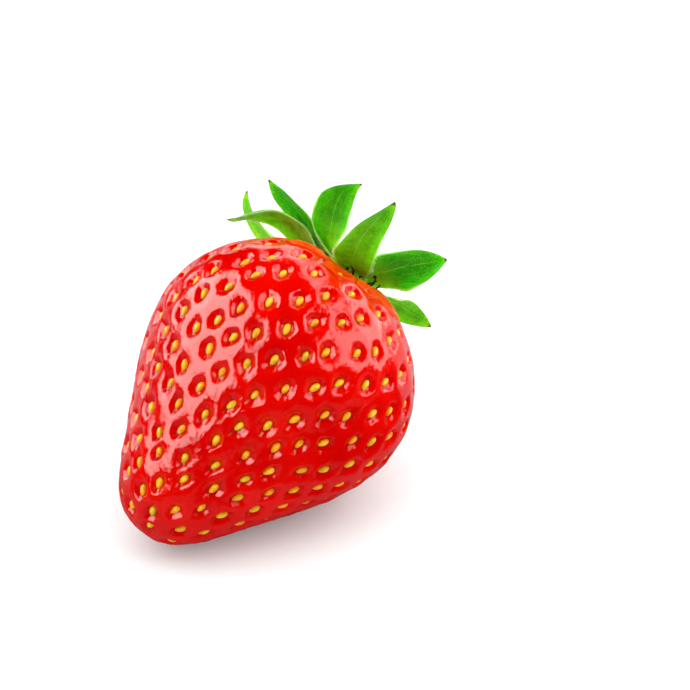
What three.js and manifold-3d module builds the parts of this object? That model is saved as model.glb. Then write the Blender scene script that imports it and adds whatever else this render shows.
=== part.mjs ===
// A whole ripe strawberry with its calyx and a short cut stem, lying on its side.
// Millimetres, +Z up. The origin is the middle of the flat spot that the fruit rests on.
// The fruit's own frame has +X along its axis, from the tip to the calyx; it is built there
// and leaned back, so that its axis lies in the XZ plane and rises towards the calyx.
import * as THREE from "three";
import { ConvexHull } from "three/addons/math/ConvexHull.js";
import { mergeVertices } from "three/addons/utils/BufferGeometryUtils.js";
import Module from "manifold-3d";

const wasm = await Module();
wasm.setup();

const DEG = Math.PI / 180;
const GOLDEN_ANGLE = Math.PI * (3 - Math.sqrt(5));

// ---- driving dimensions ----

const fruitLength = 42; // calyx seat to tip
const lean = 26 * DEG; // rise of the axis towards the calyx, as the fruit rests
const flatDepth = 0.45; // how far the resting side is pressed flat
// Half-width of the fruit over the sine of the polar angle, in powers of the height along
// the axis, which runs from -1 at the tip to 1 at the calyx.
const girth = [16.2, 7.5, -3.4, -4.0, 3.3];
const calyxAside = { y: 1.1, z: 1.0 }; // middle of the calyx, off the fruit's axis
const seatDip = 1.3; // shallow hollow that the calyx sits in
const seatDipRadius = 5;
const notchDepth = 2.3; // dent in the shoulder beside the calyx
const notchAt = 115 * DEG; // where it lies round the axis
const notchHalfAngle = 0.38;
const notchRadius = 6.8; // its distance from the axis
const notchHalfWidth = 3.2;

const acheneCount = 300;
const firstAcheneAt = 18.5 * DEG; // round the axis
const acheneHalfLength = 0.72;
const acheneHalfWidth = 0.48;
const acheneHeight = 0.5; // crest above the floor of its pit
const pitHalfLength = 1.42;
const pitHalfWidth = 1.2;
const pitDepth = 0.62;
const pitShare = 0.43; // largest pit, as a share of the way to the next achene
const skinSwell = 0.14; // rise of the skin between three pits
const bareRadius = 6.0; // no achenes under the calyx
const tipCrowding = 0.7; // how much closer the achenes stand at the tip than at the calyx

const gap = 0.4; // between the stem and the hub
const seatGap = 0.48; // between the hub and the smooth skin, whose facets stand a little above it
const hubRadius = 3.4;
const hubThickness = 1.3;
const bladeThickness = 0.62;
const stemRadius = 1.15;
const stemLength = 2.6;

// Each sepal or bractlet, with its place round the axis, its length and its width. The rises
// tell how steeply it climbs along the axis, and the turns how far it has swung sideways, at
// its root, at one and two thirds of its length, and at its tip. The rolls tell how far the
// blade leans about its own length at its root and its tip. All angles are degrees.
const sepals = [
  { at: 19, length: 17.2, width: 4.4, rises: [5, -5, 5, 45], turns: [-15, -15, 15, 60], rolls: [-5, 5] },
  { at: 38, length: 18.5, width: 4.8, rises: [-20, 8, -45, -40], turns: [-30, 10, 40, 50], rolls: [-5, 40] },
  { at: 54, length: 14, width: 4.6, rises: [5, 20, 0, 5], turns: [-35, -15, 5, 0], rolls: [-5, 20] },
  { at: 75, length: 14.2, width: 5.2, rises: [10, 40, 20, 40], turns: [-55, 10, 45, 105], rolls: [-10, 20] },
  { at: 128, length: 19.2, width: 5, rises: [5, 0, 25, 5], turns: [5, -10, 0, 5], rolls: [5, 50] },
  { at: 166, length: 13.8, width: 5.9, rises: [35, 25, 20, 20], turns: [5, -5, -5, -5], rolls: [20, -35] },
  { at: 244, length: 13, width: 4.5, rises: [10, 30, 15, 5], turns: [10, 15, -10, -25], rolls: [0, -55] },
  { at: 268, length: 12.5, width: 4.2, rises: [10, 5, -5, -10], turns: [0, 0, -5, -10], rolls: [0, 0] },
  { at: 301, length: 14.5, width: 5.4, rises: [5, 0, -5, 0], turns: [0, 0, 5, 10], rolls: [0, 10] },
  { at: 338, length: 12.5, width: 4.2, rises: [5, 0, -10, 5], turns: [0, 0, -5, -5], rolls: [0, 0] },
];
const sepalSteps = 9;
const sepalColumns = 4;
const sepalCup = 0.16; // depth of the trough across a blade, as a share of its width
const sepalRoot = 2.0; // distance from the middle of the hub at which a blade starts

const stamenCount = 24;
const stamenLength = 2.7;
const stamenRadius = 0.24;

const materials = {
  flesh: new THREE.MeshStandardMaterial({ color: 0xd01410, roughness: 0.25, metalness: 0 }),
  calyx: new THREE.MeshStandardMaterial({ color: 0x4c9a1e, roughness: 0.6, metalness: 0 }),
  stem: new THREE.MeshStandardMaterial({ color: 0x86b34a, roughness: 0.7, metalness: 0 }),
};

// A repeatable draw between -1 and 1, one for each number n and each use k.
function draw(n, k) {
  const s = Math.sin(n * 12.9898 + k * 78.233) * 43758.5453;
  return 2 * (s - Math.floor(s)) - 1;
}

// ---- the fruit's skin ----

// The point of the smooth skin in the direction d of a unit sphere, and with a lift that
// point moved out along the skin's normal.
function skin(d, lift = 0) {
  const round = Math.atan2(d.z, d.y);
  const lobes = 1 + 0.012 * Math.cos(2 * round + 0.5) + 0.01 * Math.cos(3 * round + 2.0);
  const wide = girth.reduce((sum, g, power) => sum + g * d.x ** power, 0) * lobes;
  const p = new THREE.Vector3((fruitLength / 2) * d.x, d.y * wide, d.z * wide);
  if (d.x > 0) {
    const radius = Math.hypot(p.y, p.z);
    const aside = Math.atan2(Math.sin(round - notchAt), Math.cos(round - notchAt)) / notchHalfAngle;
    const offSeat = Math.hypot(p.y - calyxAside.y, p.z - calyxAside.z) / seatDipRadius;
    p.x -= seatDip * Math.exp(-(offSeat ** 2));
    p.x -= notchDepth * Math.exp(-(aside ** 2) - ((radius - notchRadius) / notchHalfWidth) ** 2);
  }
  return lift === 0 ? p : p.addScaledVector(skinNormal(d), lift);
}

// Unit tangents of the sphere at d: towards the fruit's tip, and round its axis.
function tangents(d) {
  const aside = Math.abs(d.x) < 0.9999 ? new THREE.Vector3(1, 0, 0) : new THREE.Vector3(0, 1, 0);
  const round = new THREE.Vector3().crossVectors(aside, d).normalize();
  const down = new THREE.Vector3().crossVectors(round, d).normalize();
  if (down.x > 0) down.negate();
  return { down, round };
}

// The directions met by a small step over the sphere, and the skin's stretch along each.
function stretch(d) {
  const step = 1e-3;
  const { down, round } = tangents(d);
  const here = skin(d);
  const along = (t) => skin(d.clone().addScaledVector(t, step).normalize()).sub(here).divideScalar(step);
  return { down, round, alongDown: along(down), alongRound: along(round) };
}

function skinNormal(d) {
  const { alongDown, alongRound } = stretch(d);
  const n = new THREE.Vector3().crossVectors(alongDown, alongRound).normalize();
  return n.dot(d) < 0 ? n.negate() : n;
}

// The direction whose skin point is a mm towards the tip and b mm round the axis from d.
function moved(d, a, b, s = stretch(d)) {
  return d
    .clone()
    .addScaledVector(s.down, a / s.alongDown.length())
    .addScaledVector(s.round, b / s.alongRound.length())
    .normalize();
}

// ---- the achenes ----

// Directions of the achenes: a golden-angle spiral from the tip to the calyx, with equal
// areas of skin between them, closer at the tip and each a little out of line.
function acheneSites() {
  const steps = 2000;
  const polar = (c) => new THREE.Vector3(c, Math.sqrt(Math.max(0, 1 - c * c)), 0);
  const share = [0];
  const heights = [-1];
  for (let i = 1; i <= steps; i++) {
    const angle = Math.PI * (1 - i / steps);
    const a = skin(polar(heights[i - 1]));
    const b = skin(polar(Math.cos(angle)));
    if (Math.cos(angle) > 0.5 && b.y < bareRadius) break;
    const crowding = 1 + (tipCrowding * (1 - Math.cos(angle))) / 2;
    share.push(share[i - 1] + a.distanceTo(b) * (a.y + b.y) * crowding);
    heights.push(Math.cos(angle));
  }
  const sites = [];
  let k = 1;
  for (let i = 0; i < acheneCount; i++) {
    const wanted = ((i + 0.5) / acheneCount) * share[share.length - 1];
    while (share[k] < wanted) k++;
    const within = (wanted - share[k - 1]) / (share[k] - share[k - 1]);
    const c = heights[k - 1] + within * (heights[k] - heights[k - 1]);
    const r = Math.sqrt(1 - c * c);
    const round = firstAcheneAt + i * GOLDEN_ANGLE;
    const straight = new THREE.Vector3(c, r * Math.cos(round), r * Math.sin(round));
    sites.push(moved(straight, 0.45 * draw(i, 1), 0.45 * draw(i, 2)));
  }
  return sites;
}

// Directions of the plain cells of the skin under the calyx, which have no achene.
function seatSites() {
  const sites = [];
  for (const [radius, count] of [
    [0, 1],
    [2.3, 6],
    [4.6, 11],
  ])
    for (let k = 0; k < count; k++) {
      const angle = (2 * Math.PI * k) / count;
      sites.push(directionOver(calyxAside.y + radius * Math.cos(angle), calyxAside.z + radius * Math.sin(angle)));
    }
  return sites;
}

// ---- the flesh: one skin of cells, with a pit and an achene in each ----

function fleshGeometry() {
  const achenes = acheneSites();
  const sites = [...achenes, ...seatSites()];
  const points = sites.map((d) => skin(d));
  const vertices = [];
  const faces = [];
  const addVertex = (p) => vertices.push(restOn(p)) - 1;
  const addFace = (a, b, c) => faces.push(a, b, c);

  // The corners of the cells lie in the middle of each three neighbouring achenes.
  const corners = sites.map(() => []);
  const order = new Map(sites.map((d, i) => [d, i]));
  for (const face of new ConvexHull().setFromPoints(sites).faces) {
    const three = [face.edge, face.edge.next, face.edge.prev].map((e) => e.head().point);
    const middle = three.reduce((sum, d) => sum.add(d), new THREE.Vector3()).normalize();
    const swell = three.some((d) => order.get(d) >= achenes.length) ? 0 : skinSwell;
    const corner = { middle, vertex: addVertex(skin(middle, swell)) };
    three.forEach((d) => corners[order.get(d)].push(corner));
  }

  sites.forEach((d, i) => {
    const s = stretch(d);
    const cell = corners[i].map(({ middle, vertex }) => {
      const off = middle.clone().sub(d);
      return {
        vertex,
        angle: Math.atan2(off.dot(s.round) * s.alongRound.length(), off.dot(s.down) * s.alongDown.length()),
      };
    });
    if (i >= achenes.length) {
      const hub = addVertex(points[i]);
      sorted(cell).forEach((c, k, ring) => addFace(c.vertex, ring[(k + 1) % ring.length].vertex, hub));
      return;
    }
    const nearest = Math.min(...points.map((p, j) => (j === i || j >= achenes.length ? Infinity : p.distanceTo(points[i]))));
    const size = Math.min(1, (pitShare * nearest) / pitHalfLength) * (1 + 0.08 * draw(i, 3));
    const turn = 0.3 * draw(i, 4);
    // A closed loop of vertices round the achene, with the angle of each about it.
    const loop = (sides, halfLength, halfWidth, lift, start, point = 0) =>
      Array.from({ length: sides }, (_, k) => {
        const angle = start + (2 * Math.PI * k) / sides;
        const a = halfLength * (Math.cos(angle) + point * Math.cos(angle) ** 3);
        const b = halfWidth * Math.sin(angle);
        const away = moved(d, a * Math.cos(turn) - b * Math.sin(turn), a * Math.sin(turn) + b * Math.cos(turn), s);
        return { vertex: addVertex(skin(away, lift)), angle: angle + turn };
      });
    const rim = loop(7, pitHalfLength * size, pitHalfWidth * size, 0, 0.4);
    const foot = loop(6, acheneHalfLength, acheneHalfWidth, -pitDepth, 0, 0.12);
    join(sorted(cell), sorted(rim), addFace);
    join(sorted(rim), sorted(foot), addFace);
    // The achene rises from its foot to a short crest, like a hipped roof.
    const crest = [1, -1].map((side) => {
      const away = moved(d, side * 0.4 * acheneHalfLength * Math.cos(turn), side * 0.4 * acheneHalfLength * Math.sin(turn), s);
      return { vertex: addVertex(skin(away, acheneHeight - pitDepth)), angle: side > 0 ? turn : turn + Math.PI };
    });
    join(sorted(foot), sorted(crest), addFace);
  });
  return solidGeometry(vertices, faces);
}

// A loop in the order of its angles, each brought between 0 and one turn.
function sorted(loop) {
  const turn = 2 * Math.PI;
  return loop
    .map(({ vertex, angle }) => ({ vertex, angle: ((angle % turn) + turn) % turn }))
    .sort((a, b) => a.angle - b.angle);
}

// Triangles between an outer and an inner loop, each step taken on the loop that is behind.
// An inner loop of two vertices is a crest, and its two sides close on each other.
function join(outer, inner, addFace) {
  const turn = 2 * Math.PI;
  const at = (loop, k) => loop[k % loop.length].angle + turn * Math.floor(k / loop.length);
  let o = 0;
  let i = 0;
  const gapTo = (k) => Math.abs(at(inner, k) - at(outer, 0));
  for (let k = 1; k < inner.length; k++) if (gapTo(k) < gapTo(i)) i = k;
  const lastOuter = o + outer.length;
  const lastInner = i + inner.length;
  while (o < lastOuter || i < lastInner) {
    const a = outer[o % outer.length].vertex;
    const b = inner[i % inner.length].vertex;
    const outerNext = at(outer, o + 1) + at(outer, o);
    const innerNext = at(inner, i + 1) + at(inner, i);
    if (i === lastInner || (o < lastOuter && outerNext <= innerNext)) addFace(a, outer[++o % outer.length].vertex, b);
    else addFace(a, inner[++i % inner.length].vertex, b);
  }
}

// ---- the resting side ----

const up = new THREE.Vector3(Math.sin(lean), 0, Math.cos(lean)); // the vertical, in the fruit's frame
const ahead = new THREE.Vector3(Math.cos(lean), 0, -Math.sin(lean)); // level, towards the calyx
const resting = restingSpot();
const restLevel = resting.level;

// The height of the flat spot along the vertical, and the middle of it.
function restingSpot() {
  const points = [];
  for (let i = 1; i < 360; i++)
    for (let k = 0; k < 360; k++) {
      const r = Math.sin((i * DEG) / 2);
      points.push(skin(new THREE.Vector3(Math.cos((i * DEG) / 2), r * Math.cos(k * DEG), r * Math.sin(k * DEG))));
    }
  const level = points.reduce((lowest, p) => Math.min(lowest, p.dot(up)), Infinity) + flatDepth;
  const pressed = points.filter((p) => p.dot(up) < level);
  const middleOf = (values) => (Math.min(...values) + Math.max(...values)) / 2;
  return { level, x: middleOf(pressed.map((p) => p.dot(ahead))), y: middleOf(pressed.map((p) => p.y)) };
}

// A point of the skin, pressed up to the surface where it would lie below it.
function restOn(p) {
  const below = restLevel - p.dot(up);
  return below > 0 ? p.clone().addScaledVector(up, below) : p;
}

// ---- the calyx ----

// The direction of the skin's point at the calyx end that lies over y, z.
function directionOver(y, z) {
  const round = Math.atan2(z, y);
  const direction = (c) => {
    const r = Math.sqrt(1 - c * c);
    return new THREE.Vector3(c, r * Math.cos(round), r * Math.sin(round));
  };
  let low = 0.5;
  let high = 1;
  for (let k = 0; k < 40; k++) {
    const c = (low + high) / 2;
    const p = skin(direction(c));
    if (Math.hypot(p.y, p.z) > Math.hypot(y, z)) low = c;
    else high = c;
  }
  return direction((low + high) / 2);
}

const skinOver = (y, z) => skin(directionOver(y, z)).x;

// The hub that carries the sepals: a thin round cake that follows the skin beneath it. Its
// rings of points run from the middle of its underside to the middle of its top.
function hubGeometry() {
  const around = 26;
  const rings = [
    [0.35, 0],
    [0.7, 0],
    [0.95, 0.04],
    [1, 0.3],
    [0.96, 0.75],
    [0.75, 1],
    [0.35, 1.15],
  ];
  const at = (share, high, k) => {
    const angle = (2 * Math.PI * k) / around;
    const y = calyxAside.y + share * hubRadius * Math.cos(angle);
    const z = calyxAside.z + share * hubRadius * Math.sin(angle);
    return new THREE.Vector3(skinOver(y, z) + seatGap + high * hubThickness, y, z);
  };
  const vertices = rings.flatMap(([share, high]) => Array.from({ length: around }, (_, k) => at(share, high, k)));
  const under = vertices.push(at(0, 0, 0)) - 1;
  const over = vertices.push(at(0, 1.2, 0)) - 1;
  const faces = [];
  for (let k = 0; k < around; k++) {
    const next = (k + 1) % around;
    faces.push(under, next, k);
    for (let ring = 1; ring < rings.length; ring++) {
      const inner = (ring - 1) * around;
      const outer = ring * around;
      faces.push(inner + k, inner + next, outer + next, inner + k, outer + next, outer + k);
    }
    const last = (rings.length - 1) * around;
    faces.push(over, last + k, last + next);
  }
  return solidGeometry(vertices, faces);
}

// The value at a share of the way along a smooth curve through four even steps.
function through([a, b, c, d], share) {
  const t = 3 * share;
  const first = -((t - 1) * (t - 2) * (t - 3)) / 6;
  const second = (t * (t - 2) * (t - 3)) / 2;
  const third = -(t * (t - 1) * (t - 3)) / 2;
  const fourth = (t * (t - 1) * (t - 2)) / 6;
  return a * first + b * second + c * third + d * fourth;
}

// Half the width of a blade at a share of its length, as a share of its full width.
function bladeHalf(s) {
  return 0.5 * (1 - s) ** 0.8 * (0.8 + 1.74 * s);
}

// A blade: a closed thin sheet, whose two faces are split into triangles alike.
function sepalGeometry({ at, length, width, rises, turns, rolls }) {
  const axis = new THREE.Vector3(1, 0, 0);
  const outward = new THREE.Vector3(0, Math.cos(at * DEG), Math.sin(at * DEG));
  const sideways = new THREE.Vector3().crossVectors(axis, outward);
  const middle = new THREE.Vector3(0, calyxAside.y, calyxAside.z).addScaledVector(outward, sepalRoot);
  middle.x = skinOver(middle.y, middle.z) + seatGap + 0.45 * hubThickness;
  const headingAt = (s) => {
    const climb = through(rises, s) * DEG;
    const swing = through(turns, s) * DEG;
    return outward
      .clone()
      .multiplyScalar(Math.cos(swing) * Math.cos(climb))
      .addScaledVector(sideways, Math.sin(swing) * Math.cos(climb))
      .addScaledVector(axis, Math.sin(climb));
  };
  const rows = [];
  for (let i = 0; i <= sepalSteps; i++) {
    const s = i / sepalSteps;
    const ahead = headingAt(s);
    if (i > 0) middle.addScaledVector(headingAt(s - 0.5 / sepalSteps), length / sepalSteps);
    const level = new THREE.Vector3().crossVectors(axis, ahead).normalize();
    const across = level.applyAxisAngle(ahead, (rolls[0] + (rolls[1] - rolls[0]) * s) * DEG);
    const normal = new THREE.Vector3().crossVectors(ahead, across).normalize();
    const half = Math.max(0.25, bladeHalf(s) * width);
    const thick = bladeThickness * (s < 0.95 ? 1 : 0.7);
    rows.push(
      Array.from({ length: sepalColumns + 1 }, (_, j) => {
        const t = (2 * j) / sepalColumns - 1;
        const trough = sepalCup * width * (t * t) * Math.min(1, 2 * s) * (half / (0.5 * width));
        return middle.clone().addScaledVector(across, t * half).addScaledVector(normal, -trough);
      }).map((p) => [1, -1].map((side) => p.clone().addScaledVector(normal, (side * thick) / 2))),
    );
  }
  const vertices = rows.flat(2);
  const index = (i, j, side) => (i * (sepalColumns + 1) + j) * 2 + side;
  const faces = [];
  const quad = (a, b, c, d) => faces.push(a, b, c, a, c, d);
  for (let i = 0; i < sepalSteps; i++) {
    for (let j = 0; j < sepalColumns; j++) {
      const corner = (side) => [index(i, j, side), index(i + 1, j, side), index(i + 1, j + 1, side), index(i, j + 1, side)];
      const [a, b, c, d] = corner(0);
      quad(a, b, c, d);
      const [e, f, g, h] = corner(1);
      faces.push(e, g, f, e, h, g);
    }
    quad(index(i, 0, 0), index(i, 0, 1), index(i + 1, 0, 1), index(i + 1, 0, 0));
    quad(index(i, sepalColumns, 1), index(i, sepalColumns, 0), index(i + 1, sepalColumns, 0), index(i + 1, sepalColumns, 1));
  }
  for (let j = 0; j < sepalColumns; j++) {
    quad(index(0, j, 0), index(0, j + 1, 0), index(0, j + 1, 1), index(0, j, 1));
    quad(index(sepalSteps, j, 1), index(sepalSteps, j + 1, 1), index(sepalSteps, j + 1, 0), index(sepalSteps, j, 0));
  }
  return solidGeometry(vertices, faces);
}

// A dried stamen: a thin three-sided spike that leans out from under the hub's rim.
function stamenGeometry(n) {
  const round = ((n + 0.35 * draw(n, 5)) / stamenCount) * 2 * Math.PI;
  const tilt = (36 + 20 * draw(n, 6)) * DEG;
  const long = stamenLength * (1 + 0.25 * draw(n, 7));
  const inset = hubRadius - 0.5;
  const foot = skinOver(calyxAside.y + inset * Math.cos(round), calyxAside.z + inset * Math.sin(round)) + seatGap + 0.4;
  return new THREE.CylinderGeometry(0.12, stamenRadius, long, 4)
    .translate(0, long / 2, 0)
    .rotateZ(-tilt)
    .translate(0, hubRadius - 0.5, 0)
    .rotateX(round)
    .translate(foot, calyxAside.y, calyxAside.z);
}

function calyxGeometry() {
  const blades = sepals.map((sepal) => solid(sepalGeometry(sepal)));
  const stamens = Array.from({ length: stamenCount }, (_, n) => solid(stamenGeometry(n)));
  const hub = solid(hubGeometry());
  const all = [...blades, ...stamens].reduce((sum, piece) => sum.add(piece), hub);
  return geometryOf(all);
}

// ---- the cut stem ----

function stemGeometry() {
  const foot = skinOver(calyxAside.y, calyxAside.z) + seatGap + 1.2 * hubThickness + gap;
  const side = [
    [0, 0],
    [1.25, 0],
    [1, 0.35],
    [0.92, 0.8],
    [1, 1],
    [0, 0.97],
  ];
  const profile = side.map(([r, h]) => new THREE.Vector2(r * stemRadius, foot + h * stemLength));
  return new THREE.LatheGeometry(profile, 14).rotateZ(-Math.PI / 2).translate(0, calyxAside.y, calyxAside.z);
}

// ---- solids ----

function solidGeometry(vertices, faces) {
  const positions = new Float32Array(vertices.flatMap((v) => [v.x, v.y, v.z]));
  const geometry = new THREE.BufferGeometry();
  geometry.setAttribute("position", new THREE.BufferAttribute(positions, 3));
  geometry.setIndex(faces);
  return geometry;
}

function solid(geometry) {
  const bare = geometry.clone();
  bare.deleteAttribute("normal");
  bare.deleteAttribute("uv");
  const merged = mergeVertices(bare, 1e-4);
  const made = new wasm.Manifold(
    new wasm.Mesh({
      numProp: 3,
      vertProperties: merged.attributes.position.array,
      triVerts: new Uint32Array(merged.index.array),
    }),
  );
  return made;
}

function geometryOf(made) {
  const { vertProperties, triVerts } = made.getMesh();
  const geometry = new THREE.BufferGeometry();
  geometry.setAttribute("position", new THREE.BufferAttribute(vertProperties, 3));
  geometry.setIndex(new THREE.BufferAttribute(triVerts, 1));
  return geometry;
}

function piece(name, geometry, material) {
  const mesh = new THREE.Mesh(geometry, material);
  mesh.name = name;
  return mesh;
}

// ---- the strawberry ----

const strawberry = new THREE.Group();
strawberry.add(piece("flesh", fleshGeometry(), materials.flesh));
strawberry.add(piece("calyx", calyxGeometry(), materials.calyx));
strawberry.add(piece("stem", stemGeometry(), materials.stem));
strawberry.rotation.y = -lean;
strawberry.position.set(-resting.x, -resting.y, -resting.level);

export default strawberry;
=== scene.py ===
# A whole ripe strawberry with its calyx and a short cut stem, lying on its side.
# Blender works in metres, +Z up. The sizes below are millimetres in the fruit's own frame,
# whose +X runs along the fruit from the tip to the calyx, unless a line says otherwise.
import math

import bmesh
import bpy
import numpy as np
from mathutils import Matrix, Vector, noise


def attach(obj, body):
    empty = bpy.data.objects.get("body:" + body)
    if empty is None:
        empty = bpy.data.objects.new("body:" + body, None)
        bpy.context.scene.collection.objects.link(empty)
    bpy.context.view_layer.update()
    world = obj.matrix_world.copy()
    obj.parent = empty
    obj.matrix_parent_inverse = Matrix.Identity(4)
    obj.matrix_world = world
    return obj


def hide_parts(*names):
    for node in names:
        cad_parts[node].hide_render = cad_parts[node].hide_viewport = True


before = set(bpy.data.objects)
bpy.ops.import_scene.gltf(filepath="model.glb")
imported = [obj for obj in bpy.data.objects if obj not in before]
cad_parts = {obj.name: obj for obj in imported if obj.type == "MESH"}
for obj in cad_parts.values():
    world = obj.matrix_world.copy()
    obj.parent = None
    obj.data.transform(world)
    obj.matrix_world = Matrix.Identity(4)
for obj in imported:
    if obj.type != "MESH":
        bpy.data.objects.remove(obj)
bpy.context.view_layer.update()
scene = bpy.context.scene
scene.view_settings.view_transform = "Standard"


# ---- the table, the lights and the camera ----
# A white table top between two large softboxes, with a white wall on the right and a pale
# ceiling. Each panel either shows in gloss or lights dull surfaces, at its own strength.
fruit_middle = Vector((0.0, 0.0, 0.018))
camera_azimuth, camera_elevation = -46.7, 31.3


def direction(azimuth, elevation):
    """The way from the fruit to a stand at these angles, in degrees; 0 is in front, along -Y."""
    a, e = math.radians(azimuth), math.radians(elevation)
    return Vector((math.sin(a) * math.cos(e), -math.cos(a) * math.cos(e), math.sin(e)))


def link(tree, a, b):
    tree.links.new(a, b)


def node(tree, kind, **values):
    """A shader node; a value named like a socket is set there, and any other on the node."""
    made = tree.nodes.new("ShaderNode" + kind)
    for name, value in values.items():
        if name in made.bl_rna.properties:
            setattr(made, name, value)
        else:
            made.inputs[name.replace("_", " ")].default_value = value
    return made


def finish_named(name, roughness, **values):
    """A material with its own finish, and the parts of its tree that are wired up later."""
    material = bpy.data.materials.new(name)
    material.use_nodes = True
    tree = material.node_tree
    coat = tree.nodes["Principled BSDF"]
    coat.inputs["Roughness"].default_value = roughness
    for socket, value in values.items():
        coat.inputs[socket.replace("_", " ")].default_value = value
    return material, tree, coat


def staged(name, points, faces, material):
    """A mesh round the fruit that isn't part of it."""
    mesh = bpy.data.meshes.new(name)
    mesh.from_pydata([tuple(p) for p in points], [], faces)
    mesh.materials.append(material)
    made = bpy.data.objects.new(name, mesh)
    scene.collection.objects.link(made)
    return made


# The fruit's gloss shows the table dark in front and bright behind, and the table glows a
# little where it is seen, which thins the fruit's shadow.
table_half, table_top = 4.0, -0.00005
table_white = (0.74, 0.80, 0.80, 1)
gloss_in_front, gloss_behind, gloss_depth = 0.15, 0.36, 0.03
table_glow = 0.15


def white_table():
    """Matt white paint, with a painted reflection: in the fruit's gloss it is darker in front and brighter
    behind, and a painted glow where the camera sees it thins the fruit's shadow.
    """
    material, tree, paint = finish_named("white_table", 0.7, Specular_IOR_Level=0.2)
    path = node(tree, "LightPath")
    depth = node(tree, "VectorMath", operation="DOT_PRODUCT")
    depth.inputs[1].default_value = -direction(camera_azimuth, 0)
    link(tree, node(tree, "TexCoord").outputs["Object"], depth.inputs[0])
    fade = node(tree, "MapRange", From_Max=gloss_depth, To_Min=gloss_in_front, To_Max=gloss_behind)
    link(tree, depth.outputs["Value"], fade.inputs["Value"])
    tone = node(tree, "Mix", data_type="RGBA")
    tone.inputs[6].default_value = table_white
    link(tree, path.outputs["Is Glossy Ray"], tone.inputs[0])
    link(tree, fade.outputs[0], tone.inputs[7])
    link(tree, tone.outputs[2], paint.inputs["Base Color"])
    shine = node(tree, "Math", operation="MULTIPLY")
    link(tree, path.outputs["Is Camera Ray"], shine.inputs[0])
    shine.inputs[1].default_value = table_glow
    paint.inputs["Emission Color"].default_value = (1, 1, 1, 1)
    link(tree, shine.outputs[0], paint.inputs["Emission Strength"])
    return material


table_corners = [(-1, -1), (1, -1), (1, 1), (-1, 1)]
table_points = [(x * table_half, y * table_half, table_top) for x, y in table_corners]
staged("table_top", table_points, [(0, 1, 2, 3)], white_table())


def softbox(name, away, corners, strength, colour, in_gloss):
    """A glowing panel with its corners at these azimuths and elevations from the fruit. It
    either shows in gloss or lights dull surfaces, so that each can have its own strength."""
    points = [fruit_middle + away * direction(*corner) for corner in corners]
    half = len(points) // 2
    faces = [(k, k + 1, len(points) - 2 - k, len(points) - 1 - k) for k in range(half - 1)]
    glow = bpy.data.materials.new(name)
    glow.use_nodes = True
    tree = glow.node_tree
    tree.nodes.clear()
    light = node(tree, "Emission", Strength=strength, Color=(*colour, 1))
    link(tree, light.outputs[0], node(tree, "OutputMaterial").inputs["Surface"])
    panel = staged(name, points, faces, glow)
    panel.visible_camera = False
    panel.visible_glossy = in_gloss
    panel.visible_diffuse = panel.visible_transmission = not in_gloss


# Each panel's upper edge is given from one end to the other, and then its lower edge back.
left_corners = [(-190, 45), (-178, 58), (-150, 66), (-120, 67), (-95, 64), (-85, 58)]
left_corners += [(-76, 15), (-107, 15), (-135, 14), (-155, 12), (-172, 16), (-190, 16)]
right_corners = [(-3, 30), (2, 39), (13, 47), (28, 52), (60, 52), (81, 50), (98, 46)]
right_corners += [(98, 1), (81, 1), (60, 1), (40, 12), (28, 16), (13, 22), (-3, 27)]
wall_corners = [(98, 46), (106, 48), (118, 44), (126, 30), (138, 24), (146, 5)]
wall_corners += [(146, 0.5), (138, 0.5), (126, 0.5), (118, 0.5), (106, 0.5), (98, 0.5)]
ceiling_corners = [(-180, 35), (-90, 50), (0, 50), (90, 50), (180, 35)]
ceiling_corners += [(180, 88), (90, 88), (0, 88), (-90, 88), (-180, 88)]
warm, white = (1.0, 0.95, 0.88), (1.0, 1.0, 1.0)
softbox("softbox_left", 0.6, left_corners, 7.6, warm, True)
softbox("softbox_right", 0.6, right_corners, 4.3, warm, True)
softbox("white_wall", 0.9, wall_corners, 2.2, warm, True)
softbox("left_light", 0.6, left_corners, 3.4, white, False)
softbox("right_light", 0.6, right_corners, 3.4, white, False)
softbox("ceiling_light", 0.8, ceiling_corners, 2.2, white, False)


def gloss_card(name, points, colour):
    """A dull card that shows in the fruit's gloss alone."""
    material, _, _ = finish_named(name, 1.0, Base_Color=(*colour, 1))
    card = staged(name, points, [tuple(range(len(points)))], material)
    card.visible_camera = card.visible_shadow = False
    card.visible_diffuse = card.visible_transmission = False


# A black bar across the right panel, and a dark red card beside the fruit's lower right side.
bar_away = 0.5
bar_corners = [(48, 33), (66, 38), (88, 38), (94, 31), (80, 28), (64, 29)]
bar_points = [fruit_middle + bar_away * direction(*corner) for corner in bar_corners]
card_points = [(-0.028, -0.0215, 0), (0.032, -0.0245, 0)]
card_points += [(0.032, -0.0245, 0.026), (-0.028, -0.0215, 0.011)]
gloss_card("window_bar", bar_points, (0.01, 0.01, 0.01))
gloss_card("red_card", card_points, (0.12, 0.004, 0.004))


def dark_room(seen, bounced, mirrored):
    """The room, with its strength as seen, on dull surfaces and in gloss: it is white behind
    the table, softly bright on dull surfaces and dark in gloss."""
    world = bpy.data.worlds.new("room")
    scene.world = world
    world.use_nodes = True
    tree = world.node_tree
    tree.nodes.clear()
    path = node(tree, "LightPath")
    unseen, whole = node(tree, "MixShader"), node(tree, "MixShader")
    link(tree, path.outputs["Is Glossy Ray"], unseen.inputs[0])
    link(tree, node(tree, "Background", Strength=bounced).outputs[0], unseen.inputs[1])
    link(tree, node(tree, "Background", Strength=mirrored).outputs[0], unseen.inputs[2])
    link(tree, path.outputs["Is Camera Ray"], whole.inputs[0])
    link(tree, unseen.outputs[0], whole.inputs[1])
    link(tree, node(tree, "Background", Strength=seen).outputs[0], whole.inputs[2])
    link(tree, whole.outputs[0], node(tree, "OutputWorld").inputs[0])


dark_room(seen=1.0, bounced=0.9, mirrored=0.005)

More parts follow.
